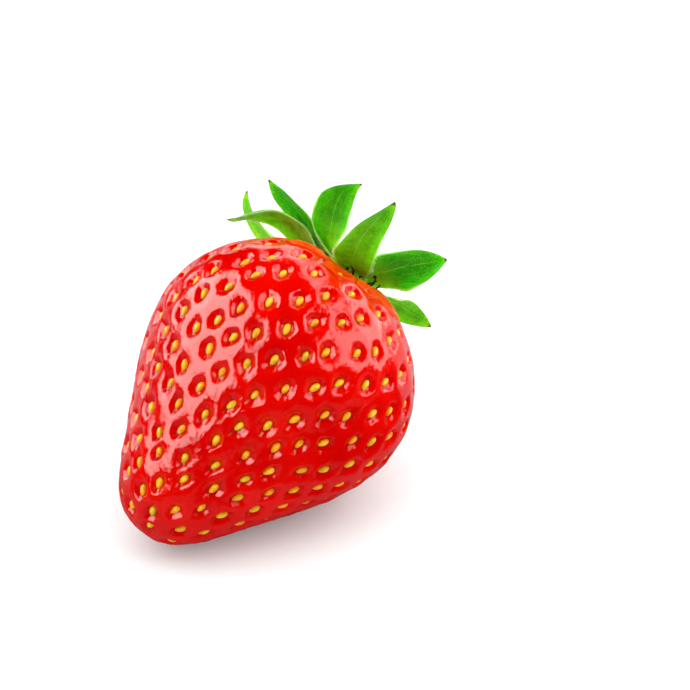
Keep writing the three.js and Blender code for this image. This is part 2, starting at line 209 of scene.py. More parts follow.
camera_target = Vector((0.0079, -0.0069, 0.0206))
camera_away = 0.33
camera_back = direction(camera_azimuth, camera_elevation)
camera = bpy.data.objects.new("camera", bpy.data.cameras.new("camera"))
camera.data.sensor_width = 36
camera.data.lens = 141.2
camera.data.clip_start = 0.01
camera.location = camera_target + camera_away * camera_back
camera.rotation_mode = "QUATERNION"
camera.rotation_quaternion = (-camera_back).to_track_quat("-Z", "Y")
scene.collection.objects.link(camera)
scene.camera = camera


# ---- the flesh ----
# The swollen fruit: one closed glossy skin, with a pit round each achene and low ridges
# between the pits. It lies on a side that its own weight has pressed flat.
fruit_length = 42  # calyx seat to tip
girth = [16.2, 7.5, -3.4, -4.0, 3.3]  # half-width, in powers of the height from -1 to 1
calyx_aside = (1.1, 1.0)  # middle of the calyx in Y and Z, off the fruit's axis
seat_dip, seat_dip_radius = 1.3, 5.0  # hollow under the calyx
# The dent in the shoulder: its depth, its place round and off the axis, and its half-widths.
notch_depth, notch_at, notch_half_angle = 2.3, math.radians(115), 0.38
notch_radius, notch_half_width = 6.8, 3.2
lean = math.radians(26)  # rise of the axis towards the calyx, as the fruit rests
flat_depth = 0.45  # how far the resting side is pressed flat

achene_count = 300
first_achene_at = math.radians(18.5)
golden_angle = math.pi * (3 - math.sqrt(5))
achene_astray = 0.45  # how far an achene may stand off the even spiral
bare_radius = 6.0  # no achenes under the calyx
tip_crowding = 0.7  # how much closer the achenes stand at the tip than at the calyx


def draw(n, k):
    """A repeatable number between -1 and 1 for each thing n and each use k."""
    s = np.sin(np.asarray(n) * 12.9898 + k * 78.233) * 43758.5453
    return 2 * (s - np.floor(s)) - 1


def unit(v):
    return v / np.linalg.norm(v, axis=-1, keepdims=True)


def smooth_step(low, high, x):
    t = np.clip((x - low) / (high - low), 0, 1)
    return t * t * (3 - 2 * t)


def skin(d, lift=0.0):
    """The skin's points in the directions d of a unit sphere, moved out by the lift."""
    d = np.asarray(d, float)
    bearing = np.arctan2(d[..., 2], d[..., 1])
    lobes = 1 + 0.012 * np.cos(2 * bearing + 0.5) + 0.01 * np.cos(3 * bearing + 2.0)
    wide = sum(g * d[..., 0] ** k for k, g in enumerate(girth)) * lobes
    x, y, z = fruit_length / 2 * d[..., 0], d[..., 1] * wide, d[..., 2] * wide
    radius = np.hypot(y, z)
    off = bearing - notch_at
    aside = np.arctan2(np.sin(off), np.cos(off)) / notch_half_angle
    off_seat = np.hypot(y - calyx_aside[0], z - calyx_aside[1]) / seat_dip_radius
    dent = seat_dip * np.exp(-(off_seat**2))
    dent += notch_depth * np.exp(-(aside**2) - ((radius - notch_radius) / notch_half_width) ** 2)
    p = np.stack([x - np.where(d[..., 0] > 0, dent, 0), y, z], axis=-1)
    if np.any(lift):
        p = p + skin_normal(d) * np.asarray(lift)[..., None]
    return p


def stretch(d):
    """Tangents at d towards the tip and round the fruit, and how the skin moves along each."""
    step = 1e-3
    around = unit(np.stack([0 * d[..., 0], -d[..., 2], d[..., 1]], axis=-1) + [0, 0, 1e-12])
    down = unit(np.cross(around, d))
    here = skin(d)
    along_down = (skin(unit(d + step * down)) - here) / step
    along_round = (skin(unit(d + step * around)) - here) / step
    return down, around, along_down, along_round


def skin_normal(d):
    _, _, along_down, along_round = stretch(d)
    n = unit(np.cross(along_down, along_round))
    return n * np.sign(np.sum(n * d, axis=-1, keepdims=True))


def moved(d, a, b, s=None):
    """The direction of the skin's point a mm towards the tip and b mm round from that of d."""
    down, around, along_down, along_round = s or stretch(d)
    a = np.asarray(a)[..., None] / np.linalg.norm(along_down)
    b = np.asarray(b)[..., None] / np.linalg.norm(along_round)
    return unit(d + down * a + around * b)


def over(y, z):
    """The direction of the skin's point at the calyx end that lies over y, z."""
    bearing = math.atan2(z, y)
    low, high = 0.5, 1.0
    for _ in range(40):
        c = (low + high) / 2
        r = math.sqrt(1 - c * c)
        d = np.array([c, r * math.cos(bearing), r * math.sin(bearing)])
        p = skin(d)
        if math.hypot(p[1], p[2]) > math.hypot(y, z):
            low = c
        else:
            high = c
    return d


def achene_sites():
    """Directions of the achenes: a golden-angle spiral that is closer at the tip."""
    angles = np.pi * (1 - np.arange(2001) / 2000)
    c = np.cos(angles)
    p = skin(np.stack([c, np.sqrt(np.maximum(0, 1 - c * c)), 0 * c], axis=-1))
    covered = int(np.argmax((c > 0.5) & (p[:, 1] < bare_radius)))
    c, p = c[:covered], p[:covered]
    crowding = 1 + tip_crowding * (1 - c[1:]) / 2
    area = np.linalg.norm(p[1:] - p[:-1], axis=1) * (p[1:, 1] + p[:-1, 1]) * crowding
    share = np.concatenate([[0], np.cumsum(area)])
    i = np.arange(achene_count)
    height = np.interp((i + 0.5) / achene_count * share[-1], share, c)
    r, bearing = np.sqrt(1 - height**2), first_achene_at + i * golden_angle
    straight = np.stack([height, r * np.cos(bearing), r * np.sin(bearing)], axis=-1)
    a, b = achene_astray * draw(i, 1), achene_astray * draw(i, 2)
    return np.array([moved(d, a[k], b[k]) for k, d in enumerate(straight)])


def seat_sites():
    """Directions of the plain cells of skin under the calyx."""
    sites = []
    for radius, count in ((0, 1), (2.3, 6), (4.6, 11)):
        for k in range(count):
            t = 2 * math.pi * k / count
            sites.append(over(calyx_aside[0] + radius * math.cos(t), calyx_aside[1] + radius * math.sin(t)))
    return np.array(sites)


def resting_spot():
    """Where the fruit's underside is pressed flat: its middle and its level."""
    polar, bearing = np.meshgrid(np.radians(np.arange(1, 360) / 2), np.radians(np.arange(360)))
    r = np.sin(polar)
    p = skin(np.stack([np.cos(polar), r * np.cos(bearing), r * np.sin(bearing)], axis=-1)).reshape(-1, 3)
    height = p @ [math.sin(lean), 0, math.cos(lean)]
    level = height.min() + flat_depth
    pressed = p[height < level]
    ahead = pressed @ [math.cos(lean), 0, -math.sin(lean)]
    aside = pressed[:, 1]
    return np.array([(ahead.min() + ahead.max()) / 2, (aside.min() + aside.max()) / 2, level])


spot = resting_spot()


def laid(p):
    """Points of the fruit's own frame, in the row frame and in metres."""
    x = p[..., 0] * math.cos(lean) - p[..., 2] * math.sin(lean)
    z = p[..., 0] * math.sin(lean) + p[..., 2] * math.cos(lean)
    return (np.stack([x, p[..., 1], z], axis=-1) - spot) * 0.001


def piece(name, points, faces, material, slot):
    """A smooth mesh piece that rides on the fruit."""
    mesh = bpy.data.meshes.new(name)
    mesh.from_pydata(np.asarray(points).tolist(), [], [tuple(int(v) for v in f) for f in faces])
    mesh.shade_smooth()
    mesh.materials.append(material)
    made = bpy.data.objects.new(name, mesh)
    scene.collection.objects.link(made)
    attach(made, "root")
    return made


sites = achene_sites()
site_stretch = [stretch(d) for d in sites]
site_points = skin(sites)
nearest = np.array([np.sort(np.linalg.norm(site_points - p, axis=1))[1] for p in site_points])

# The pits, each a share of the way to the next achene wide at most.
pit_half_length, pit_half_width, pit_depth = 1.42, 1.2, 0.62
pit_share = 0.5
number = np.arange(achene_count)
pit_size = np.minimum(1, pit_share * nearest / pit_half_length) * (1 + 0.08 * draw(number, 3))
pit_turn = 0.3 * draw(number, 4)

# Height of a pit's wall at shares of the way from its middle to its rim.
pit_rings = [0.0, 0.28, 0.42, 0.54, 0.65, 0.75, 0.84, 0.91, 0.965, 1.0]
pit_heights = [-0.6, -0.59, -0.57, -0.51, -0.41, -0.28, -0.17, -0.1, -0.05, -0.02]
# The waves of an uneven rim: how many go round, how high they are, and which draw turns them.
rim_waves = [(2, 0.05, 11), (3, 0.06, 12), (5, 0.04, 13), (8, 0.03, 14)]


def pit_rim(i, angle):
    """The pit's radius at angles about its achene: an egg, drawn out towards the tip."""
    t = angle - pit_turn[i]
    long, wide = pit_half_length * pit_size[i], pit_half_width * pit_size[i]
    egg = 1 / np.hypot(np.cos(t) / long, np.sin(t) / wide)
    drawn_out = 0.16 * np.clip(np.cos(t), 0, 1) ** 6
    uneven = sum(high * np.cos(waves * t + 9 * draw(i, use)) for waves, high, use in rim_waves)
    return egg * (1 + drawn_out + uneven)


def uneven_skin(p):
    """Slow waves of the skin, so that its gloss doesn't run dead straight."""
    slow = [noise.noise(Vector(q * 0.45)) for q in p]
    quick = [noise.noise(Vector(q * 1.3)) for q in p]
    return 0.035 * np.array(slow) + 0.012 * np.array(quick)


skin_swell = 0.1  # rise of the skin between the pits
orange_reach = [(1.1, 1.0, 10.1), (-2.5, 4.0, 9.3)]  # orange skin: round which Y, Z, how far
orange_swell, crease_depth = 0.3, 0.2
border_steps = 4  # along each side of a cell
rim_free, rim_most = 0.8 * 0.88, 0.88  # a pit's rim is pressed in as it nears the cell's border
ridge_shares = (0.8, 0.5, 0.16)  # rings of points between a cell's border and its pit


def flesh_skin():
    """Points and faces of the skin, and at each point how orange and how creased it is."""
    every_site = np.concatenate([sites, seat_sites()])
    hull = bmesh.new()
    for d in every_site:
        hull.verts.new(d)
    bmesh.ops.convex_hull(hull, input=hull.verts)
    hull.verts.index_update()
    threes = [tuple(v.index for v in f.verts) for f in hull.faces]
    hull.free()
    middles = [unit(every_site[list(three)].sum(axis=0)) for three in threes]

    # The cells' shared border: their corners, and the points along each side between two.
    border = list(middles)
    sides = {}

    def side(a, b):
        low, high = min(a, b), max(a, b)
        if (low, high) not in sides:
            sides[low, high] = list(range(len(border), len(border) + border_steps - 1))
            for k in range(1, border_steps):
                border.append(unit(middles[low] * (border_steps - k) + middles[high] * k))
        between = sides[low, high]
        return between if a == low else between[::-1]

    corners = [[] for _ in every_site]
    for c, three in enumerate(threes):
        for i in three:
            corners[i].append(c)
    cells = []
    for i, d in enumerate(every_site):
        down, around, along_down, along_round = stretch(d)
        long, wide = np.linalg.norm(along_down), np.linalg.norm(along_round)

        def flat(way, d=d, down=down, around=around, long=long, wide=wide):
            g = way / (way @ d)[..., None] - d
            return np.stack([g @ down * long, g @ around * wide], axis=-1)

        ring = sorted(corners[i], key=lambda c: math.atan2(*flat(middles[c])[::-1]))
        loop = []
        for a, b in zip(ring, ring[1:] + ring[:1]):
            loop += [a] + side(a, b)
        place = flat(np.array([border[v] for v in loop]))
        reach = np.hypot(place[:, 0], place[:, 1])
        angle = np.arctan2(place[:, 1], place[:, 0])
        rim = None
        if i < achene_count:
            rim = pit_rim(i, angle)
            free, most = rim_free * reach, rim_most * reach
            pressed = most - (most - free) * np.exp((free - rim) / (most - free))
            rim = np.where(rim < free, rim, pressed)
        cells.append((loop, reach, angle, rim))

    # The cells near the calyx are orange, each a ring round its pit, with a crease between them
    # and the red ones, which the skin's colour paints a darker red as painted shade.
    orange = np.zeros(len(every_site))
    for y, z, reach in orange_reach:
        orange[np.linalg.norm(skin(every_site) - skin(over(y, z)), axis=1) < reach] = 1
    border = np.array(border)
    width = np.full(len(border), 9.0)
    palest, deepest = np.ones(len(border)), np.zeros(len(border))
    for (loop, reach, _, rim), tone in zip(cells, orange):
        width[loop] = np.minimum(width[loop], 0 if rim is None else reach - rim)
        palest[loop] = np.minimum(palest[loop], tone)
        deepest[loop] = np.maximum(deepest[loop], tone)
    swell = skin_swell * smooth_step(0.0, 0.9, width)
    directions = [border]
    lifts = [np.where(deepest > 0, -crease_depth, swell)]
    # The second tone marks the creases, where the skin's colour paints shade.
    tones = [np.stack([(palest + deepest) / 2, 0.8 * deepest], axis=1)]
    start, faces = len(border), []
    for i, (loop, reach, angle, rim) in enumerate(cells):
        d, s = every_site[i], stretch(every_site[i])
        count = len(loop)
        outer = list(loop)
        if rim is None:
            rings = [(0.5 * reach, 0 * reach)]
        else:
            rings = []
            for share in ridge_shares:
                if orange[i]:
                    rise = orange_swell * math.sin(share * math.pi)
                else:
                    rise = (swell[loop] + 0.01) * math.sin(share * math.pi / 2)
                rings.append((rim + share * (reach - rim), -0.01 + rise))
            walls = zip(pit_rings[:0:-1], pit_heights[:0:-1])
            rings += [(share * rim, 0 * rim + height) for share, height in walls]
        for radius, lift in rings:
            directions.append(moved(d, radius * np.cos(angle), radius * np.sin(angle), s))
            lifts.append(lift + 0 * reach)
            # The walls of an orange cell's pit are redder than its rim.
            depth = 0.0 if rim is None else 1 - smooth_step(0.6, 1.0, np.divide(radius, rim))
            tone = orange[i] * (1 - 0.7 * depth) + 0 * reach
            tones.append(np.stack([tone, 0 * tone], axis=1))
            inner = list(range(start, start + count))
            start += count
            for k in range(count):
                n = (k + 1) % count
                faces += [(outer[k], outer[n], inner[n]), (outer[k], inner[n], inner[k])]
            outer = inner
        directions.append(d[None])
        lifts.append(np.array([0.0 if rim is None else pit_heights[0]]))
        tones.append(np.array([[orange[i] * (1.0 if rim is None else 0.3), 0.0]]))
        faces += [(outer[k], outer[(k + 1) % count], start) for k in range(count)]
        start += 1
    directions = np.concatenate(directions)
    smooth = skin(directions)
    lift = np.concatenate(lifts) + uneven_skin(smooth)
    points = laid(smooth + skin_normal(directions) * lift[:, None])
    points[:, 2] = np.maximum(points[:, 2], 0)
    # Faces turn outward: the loops run round each site one way, so one test settles them all.
    a, b, c = (points[list(f)] for f in zip(*faces))
    if np.sum(np.cross(b - a, c - a) * (a - points.mean(axis=0))) < 0:
        faces = [f[::-1] for f in faces]
    return points, faces, np.concatenate(tones)


def shades(tree, value, stops):
    """A colour ramp over a value, with (place, colour) stops."""
    ramp = node(tree, "ValToRGB")
    elements = ramp.color_ramp.elements
    while len(elements) > 1:
        elements.remove(elements[-1])
    for k, (place, colour) in enumerate(stops):
        e = elements[0] if k == 0 else elements.new(place)
        e.position = place
        e.color = (*colour, 1)
    link(tree, value, ramp.inputs["Fac"])
    return ramp.outputs["Color"]


def mixed(tree, share, a, b):
    """Colours a and b, mixed by a share; either may be a socket or a plain colour."""
    mix = tree.nodes.new("ShaderNodeMix")
    mix.data_type = "RGBA"
    for socket, value in ((0, share), (6, a), (7, b)):
        if isinstance(value, bpy.types.NodeSocket):
            link(tree, value, mix.inputs[socket])
        elif socket == 0:
            mix.inputs[0].default_value = value
        else:
            mix.inputs[socket].default_value = (*value, 1)
    return mix.outputs[2]


def cloudy(tree, scale, detail):
    """Noise over the piece's own place; the scale is per metre."""
    cloud = node(tree, "TexNoise", Scale=scale, Detail=detail)
    link(tree, node(tree, "TexCoord").outputs["Object"], cloud.inputs["Vector"])
    return cloud.outputs["Fac"]


def mark(tree, name):
    """A number that the piece's mesh keeps at each point."""
    return node(tree, "Attribute", attribute_name=name).outputs["Fac"]


def grained(tree, coat, height, strength, distance):
    """Fine relief on a coat; the distance is in metres."""
    bump = node(tree, "Bump", Strength=strength, Distance=distance)
    link(tree, height, bump.inputs["Height"])
    link(tree, bump.outputs[0], coat.inputs["Normal"])


dark_red, ripe_red = (0.60, 0.0, 0.0), (0.74, 0.002, 0.0)
# The crease's red is darker than the ripe red: painted shade in the creases.
skin_orange, shaded_crease_red = (0.7, 0.07, 0.002), (0.5, 0.01, 0.001)


def ripe_skin():
    """Wet-looking red skin, mottled a little, orange where the calyx kept the sun off, and painted a darker
    red along the creases as painted shade.
    """
    under = {"Subsurface_Weight": 0.55, "Subsurface_Scale": 0.0012, "Subsurface_Radius": (1.0, 0.12, 0.06)}
    material, tree, coat = finish_named("ripe_skin", 0.04, IOR=1.48, **under)
    red = shades(tree, cloudy(tree, 160.0, 3.0), [(0.3, dark_red), (0.7, ripe_red)])
    fair = mixed(tree, mark(tree, "orange"), red, skin_orange)
    # Painted shade: the skin is mixed to a darker red along the creases.
    link(tree, mixed(tree, mark(tree, "crease"), fair, shaded_crease_red), coat.inputs["Base Color"])
    # The orange tissue is duller than the ripe skin.
    dull = node(tree, "MapRange", To_Min=0.5, To_Max=0.04)
    link(tree, mark(tree, "orange"), dull.inputs["Value"])
    link(tree, dull.outputs[0], coat.inputs["Specular IOR Level"])
    grained(tree, coat, cloudy(tree, 2000.0, 3.0), 1.0, 0.00006)
    return material


def marked(made, **marks):
    """Keeps numbers at each point of a piece's mesh, for its material to read."""
    for name, values in marks.items():
        kept = made.data.attributes.new(name, "FLOAT", "POINT")
        kept.data.foreach_set("value", np.array(values, np.float32))


skin_points, skin_faces, skin_tones = flesh_skin()
flesh = piece("fruit_skin", skin_points, skin_faces, ripe_skin(), "flesh")
marked(flesh, orange=skin_tones[:, 0], crease=skin_tones[:, 1])
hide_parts("flesh")


# ---- the achenes ----
# The seeds on the outside: hard golden drops, each set into the floor of its pit with its
# point towards the fruit's tip, where the dried thread of its style lies up the wall.
achene_half_length, achene_half_width, achene_height = 0.61, 0.375, 0.44
achene_sunk = 0.06  # its widest part above the pit's floor
clear_of_table = 0.00002  # metres


def achene_frames():
    """For each achene: the middle of its pit's floor, the way to the tip, aside, and out."""
    normal = skin_normal(sites)
    foot = site_points - normal * pit_depth
    down = unit(np.array([s[2] for s in site_stretch]))
    aside = unit(np.cross(normal, down))
    c, s = np.cos(pit_turn)[:, None], np.sin(pit_turn)[:, None]
    return foot, unit(c * down + s * aside), unit(c * aside - s * down), normal


achene_foot, achene_tipward, achene_aside, achene_out = achene_frames()


def above_table(p):
    """Points of one small piece, raised where it would reach into the table."""
    p[:, 2] += max(0, clear_of_table - p[:, 2].min())
    return p


def achene_drops():
    around, along = 14, 9
    points, faces = [], []
    for i in range(achene_count):
        grown = 1 + 0.08 * draw(i, 21)
        first = len(points)
        for k in range(along + 1):
            t = math.pi * k / along
            lengthwise = math.cos(t)
            fullness = grown * math.sin(t) ** 0.9 * (1 - 0.18 * lengthwise)
            forward = achene_half_length * grown * (lengthwise + 0.12 * lengthwise**3)
            for j in range(around):
                u = 2 * math.pi * j / around
                keel = 1 + 0.06 * math.cos(2 * u)
                sideways = achene_half_width * fullness * math.cos(u) * keel
                rise = achene_sunk + (achene_height - achene_sunk) * fullness * math.sin(u)
                points.append(
                    achene_foot[i]
                    + achene_tipward[i] * forward
                    + achene_aside[i] * sideways
                    + achene_out[i] * rise
                )
        for k in range(along):
            for j in range(around):
                n = (j + 1) % around
                a, b = first + k * around, first + (k + 1) * around
                faces += [(a + j, b + j, b + n, a + n)]
        last = first + along * around
        faces += [tuple(range(first, first + around)), tuple(range(last, last + around))[::-1]]
    points = laid(np.array(points)).reshape(achene_count, -1, 3)
    return np.concatenate([above_table(p) for p in points]), faces


def multiplied(tree, a, b):
    """Colour a darkened or lightened by b."""
    mix = node(tree, "Mix", data_type="RGBA", blend_type="MULTIPLY")
    mix.inputs[0].default_value = 1.0
    link(tree, a, mix.inputs[6])
    link(tree, b, mix.inputs[7])
    return mix.outputs[2]


husk_amber, husk_gold, husk_straw = (0.92, 0.4, 0.005), (0.98, 0.56, 0.008), (0.76, 0.54, 0.01)


def golden_husk():
    """Hard husk, in a tint of its own for each achene and flecked with brown."""
    under = {"Subsurface_Weight": 0.15, "Subsurface_Scale": 0.0004, "Subsurface_Radius": (1.0, 0.6, 0.2)}
    material, tree, coat = finish_named("golden_husk", 0.32, Specular_IOR_Level=0.35, **under)
    island = node(tree, "NewGeometry").outputs["Random Per Island"]
    tint = shades(tree, island, [(0.0, husk_amber), (0.5, husk_gold), (1.0, husk_straw)])
    fleck = shades(tree, cloudy(tree, 1500.0, 3.0), [(0.35, (0.72, 0.6, 0.5)), (0.6, (1, 1, 1))])
    link(tree, multiplied(tree, tint, fleck), coat.inputs["Base Color"])
    return material


piece("achenes", *achene_drops(), golden_husk(), "flesh")


def tube(path, radii, sides=5):
    """Points and faces of a closed tube along a path, with a radius at each of its points."""
    path = np.asarray(path, float)
    ahead = unit(np.gradient(path, axis=0))
    beside = unit(np.cross(ahead, [0.31, 0.52, 0.79]))
    above = np.cross(ahead, beside)
    turn = (2 * np.pi * np.arange(sides) / sides)[None, :, None]
    ring = np.cos(turn) * beside[:, None] + np.sin(turn) * above[:, None]
    points = (path[:, None] + ring * np.asarray(radii)[:, None, None]).reshape(-1, 3)
    faces = []
    for k in range(len(path) - 1):
        for j in range(sides):
            n = (j + 1) % sides
            faces.append((k * sides + j, k * sides + n, (k + 1) * sides + n, (k + 1) * sides + j))
    last = (len(path) - 1) * sides
    faces += [tuple(range(sides))[::-1], tuple(range(last, last + sides))]
    return points, faces


def gathered(parts):
    """Many (points, faces) as one."""
    points, faces, start = [], [], 0
    for p, f in parts:
        points.append(p)
        faces += [tuple(v + start for v in face) for face in f]
        start += len(p)
    return np.concatenate(points), faces


thread_start = 0.62  # from the achene's middle
thread_radii = [0.05, 0.036, 0.03, 0.03, 0.03, 0.035, 0.02]


def style_threads():
    parts = []
    for i in range(achene_count):
        swing = 0.35 * draw(i, 22)
        rim = pit_rim(i, np.array([pit_turn[i] + swing]))[0]
        thread_end = rim * (0.86 + 0.2 * draw(i, 23))
        path = []
        for t in np.linspace(0, 1, len(thread_radii)):
            away = thread_start + (thread_end - thread_start) * t
            angle = pit_turn[i] + swing * t + 0.12 * math.sin(3 * t + 9 * draw(i, 24))
            wall = np.interp(away / rim, pit_rings, pit_heights)
            d = moved(sites[i], away * math.cos(angle), away * math.sin(angle), site_stretch[i])
            path.append(skin(d, max(wall + 0.05, -0.5 + 0.5 * t)))
        points, faces = tube(path, thread_radii)
        parts.append((above_table(laid(points)), faces))
    return gathered(parts)


thread_maroon, thread_russet, thread_tan = (0.10, 0.012, 0.004), (0.26, 0.04, 0.008), (0.45, 0.16, 0.03)


def dried_thread():
    material, tree, coat = finish_named("dried_thread", 0.5)
    island = node(tree, "NewGeometry").outputs["Random Per Island"]
    tint = shades(tree, island, [(0.0, thread_maroon), (0.5, thread_russet), (1.0, thread_tan)])
    link(tree, tint, coat.inputs["Base Color"])
    return material


piece("style_threads", *style_threads(), dried_thread(), "flesh")


# ---- the hub of the calyx ----
# The fleshy disc that the sepals and the dried stamens grow from: soft green tissue, grown
# on the end of the fruit a hair's breadth above the skin of the seat.
seat_gap = 0.48
hub_radius, hub_thickness = 3.4, 1.3
# Its section, from the middle of its underside to the middle of its top, in shares of these.
hub_section = [(0.0, -0.3), (0.35, -0.3), (0.7, -0.3), (0.95, -0.3), (1.0, -0.22), (1.02, 0.05)]
hub_section += [(1.0, 0.36), (0.96, 0.64), (0.9, 0.85), (0.78, 0.99), (0.6, 1.08), (0.35, 1.15), (0.0, 1.2)]


def skin_over(y, z):
    return skin(over(y, z))[0]


def ring_faces(rings, around):
    """Faces of rings of points, closed by one point under the first and one over the last."""
    faces = []
    under, top, last = rings * around, rings * around + 1, (rings - 1) * around
    for k in range(around):
        n = (k + 1) % around
        for low in range(0, last, around):
            faces.append((low + k, low + n, low + around + n, low + around + k))
        faces += [(under, n, k), (top, last + k, last + n)]
    return faces


def hub_cake():
    around = 48
    points = []
    for share, high in hub_section[1:-1]:
        for k in range(around):
            t = 2 * math.pi * k / around
            swell = 1 + 0.03 * math.sin(5 * t + 1) + 0.02 * math.sin(11 * t)
            y = calyx_aside[0] + share * hub_radius * swell * math.cos(t)
            z = calyx_aside[1] + share * hub_radius * swell * math.sin(t)
            points.append([skin_over(y, z) + seat_gap + high * hub_thickness, y, z])
    for _, high in (hub_section[0], hub_section[-1]):
        points.append([skin_over(*calyx_aside) + seat_gap + high * hub_thickness, *calyx_aside])
    return laid(np.array(points)), ring_faces(len(hub_section) - 2, around)


def soft_green():
    under = {"Subsurface_Weight": 0.6, "Subsurface_Scale": 0.001, "Subsurface_Radius": (0.6, 1.0, 0.2)}
    material, tree, coat = finish_named("soft_green", 0.5, **under)
    cloud = cloudy(tree, 700.0, 4.0)
    green = shades(tree, cloud, [(0.3, (0.34, 0.64, 0.006)), (0.7, (0.5, 0.8, 0.01))])
    link(tree, green, coat.inputs["Base Color"])
    grained(tree, coat, cloud, 0.5, 0.0001)
    return material


hub = piece("calyx_hub", *hub_cake(), soft_green(), "calyx")


# ---- the sepals ----
# Ten thin leaves round the hub, five sepals and five narrower bractlets: matt green blades,
# pale along their veins, yellow-green at the root and dried brown at the very point.
# Each line gives the place round the axis, the length and the width, how steeply the blade
# climbs and how far it has swung at its root, one third, two thirds and tip, how it rolls
# at its root and tip, how light its green is, partly its own tone and partly painted light
# for how far the leaf is lit through or shaded, and what share of its point has dried. The
# angles are degrees.
sepal_leaves = [
    (19, 17.2, 4.4, (5, -5, 5, 45), (-15, -15, 15, 60), (-5, 5), 0.85, 0.03),
    (38, 18.5, 4.8, (-20, 8, -45, -40), (-30, 10, 40, 50), (-5, 40), 0.62, 0.05),
    (54, 14.0, 4.6, (5, 20, 0, 5), (-35, -15, 5, 0), (-5, 20), 0.2, 0.04),
    (75, 14.2, 5.2, (10, 40, 20, 40), (-55, 10, 45, 105), (-10, 20), 0.15, 0.04),
    (128, 19.2, 5.0, (5, 0, 25, 5), (5, -10, 0, 5), (5, 50), 0.38, 0.06),
    (166, 13.8, 5.9, (35, 25, 20, 20), (5, -5, -5, -5), (20, -35), 0.0, 0.03),
    (244, 13.0, 4.5, (10, 30, 15, 5), (10, 15, -10, -25), (0, -55), 0.55, 0.05),
    (268, 12.5, 4.2, (10, 5, -5, -10), (0, 0, -5, -10), (0, 0), 0.3, 0.06),
    (301, 14.5, 5.4, (5, 0, -5, 0), (0, 0, 5, 10), (0, 10), 0.2, 0.07),
    (338, 12.5, 4.2, (5, 0, -10, 5), (0, 0, -5, -5), (0, 0), 0.4, 0.08),
]
sepal_cup = 0.16  # depth of the trough across a blade, as a share of its width
sepal_root = 2.0  # distance from the middle of the hub at which a blade starts
tip_thick, root_thicker, margin_thick = 0.14, 0.36, 0.04
midrib_height, midrib_width, vein_height, ripple_height = 0.07, 0.10, 0.035, 0.22


def through(values, share):
    """The value at a share of the way along a smooth curve through four even steps."""
    a, b, c, d = values
    t = 3 * share
    return (
        -a * (t - 1) * (t - 2) * (t - 3) / 6
        + b * t * (t - 2) * (t - 3) / 2
        - c * t * (t - 1) * (t - 3) / 2
        + d * t * (t - 1) * (t - 2) / 6
    )


def turned(v, about, angle):
    """A direction, turned about another one."""
    c, s = math.cos(angle), math.sin(angle)
    return v * c + np.cross(about, v) * s + about * (about @ v) * (1 - c)


def blade(n, at, length, width, rises, turns, rolls):
    """The rows of a leaf from root to tip: middle, way across, normal, half-width."""
    axis = np.array([1.0, 0, 0])
    at = math.radians(at)
    outward = np.array([0, math.cos(at), math.sin(at)])
    sideways = np.cross(axis, outward)
    middle = np.array([0, *calyx_aside]) + sepal_root * outward
    middle[0] = skin_over(middle[1], middle[2]) + seat_gap + 0.45 * hub_thickness
    steps = 40
    rows = []

    def heading(s):
        climb, swing = math.radians(through(rises, s)), math.radians(through(turns, s))
        level = math.cos(swing) * outward + math.sin(swing) * sideways
        return math.cos(climb) * level + math.sin(climb) * axis

    for i in range(steps + 1):
        s = i / steps
        if i > 0:
            middle = middle + heading(s - 0.5 / steps) * length / steps
        ahead = heading(s)
        level = unit(np.cross(axis, ahead))
        across = turned(level, ahead, math.radians(rolls[0] + (rolls[1] - rolls[0]) * s))
        half = width * max(0.012, 0.5 * (1 - s) ** 0.8 * (0.8 + 1.74 * s))
        rows.append((s, middle, across, unit(np.cross(ahead, across)), half))
    return rows


def crossing(n, width, row, t):
    """The middle of the blade's thickness at t across it, from -1 to 1."""
    s, middle, across, normal, half = row
    trough = sepal_cup * width * t * t * min(1, 2 * s) * (half / (0.5 * width))
    wave = math.sin(s * 14 + 5 * draw(n, 31) + (2.1 if t > 0 else 0))
    ripple = ripple_height * abs(t) ** 3 * wave * math.sin(math.pi * min(1, s * 1.1))
    return middle + t * half * across - (trough + ripple) * normal


def leaf(n, at, length, width, rises, turns, rolls):
    """A closed thin blade with a keeled midrib, raised veins and a rippled edge, and how far
    along it and across it each point is."""
    columns = 14
    rows = blade(n, at, length, width, rises, turns, rolls)
    upper, lower, along, across = [], [], [], []
    for row in rows:
        s, normal = row[0], row[3]
        tissue = tip_thick + root_thicker * (1 - s) ** 2
        veined = math.sin(math.pi * min(1, s * 1.15)) if s < 0.95 else 0
        for j in range(columns + 1):
            t = 2 * j / columns - 1
            thick = tissue * (1 - 0.6 * t * t) * min(1, 6 * (1 - s)) + margin_thick
            rib = midrib_height * math.exp(-((t / midrib_width) ** 2)) * (1 - s)
            vein = vein_height * math.cos(3 * math.pi * t) * (1 - t * t) * veined
            centre = crossing(n, width, row, t)
            upper.append(centre + (thick / 2 + rib) * normal)
            lower.append(centre + (-thick / 2 + rib * 0.5 + vein) * normal)
            along.append(s)
            across.append(t)
    count = len(upper)
    faces = []
    wide = columns + 1
    last = len(rows) - 1
    for i in range(last):
        for j in range(columns):
            a = i * wide + j
            b = a + count
            faces += [(a, a + 1, a + wide + 1, a + wide), (b, b + wide, b + wide + 1, b + 1)]
        for j, flip in ((0, False), (columns, True)):
            a = i * wide + j
            rim = (a, a + wide, a + wide + count, a + count)
            faces.append(rim[::-1] if flip else rim)
    for i, flip in ((0, True), (last, False)):
        for j in range(columns):
            a = i * wide + j
            end = (a, a + 1, a + 1 + count, a + count)
            faces.append(end if flip else end[::-1])
    return laid(np.array(upper + lower)), faces, along * 2, across * 2


deep_green, fresh_green = np.array([0.016, 0.29, 0.004]), np.array([0.34, 0.66, 0.003])
root_green = np.array([0.42, 0.77, 0.004])
vein_green, margin_green, dried_brown = (0.42, 0.85, 0.22), (0.42, 0.9, 0.2), (0.09, 0.045, 0.03)


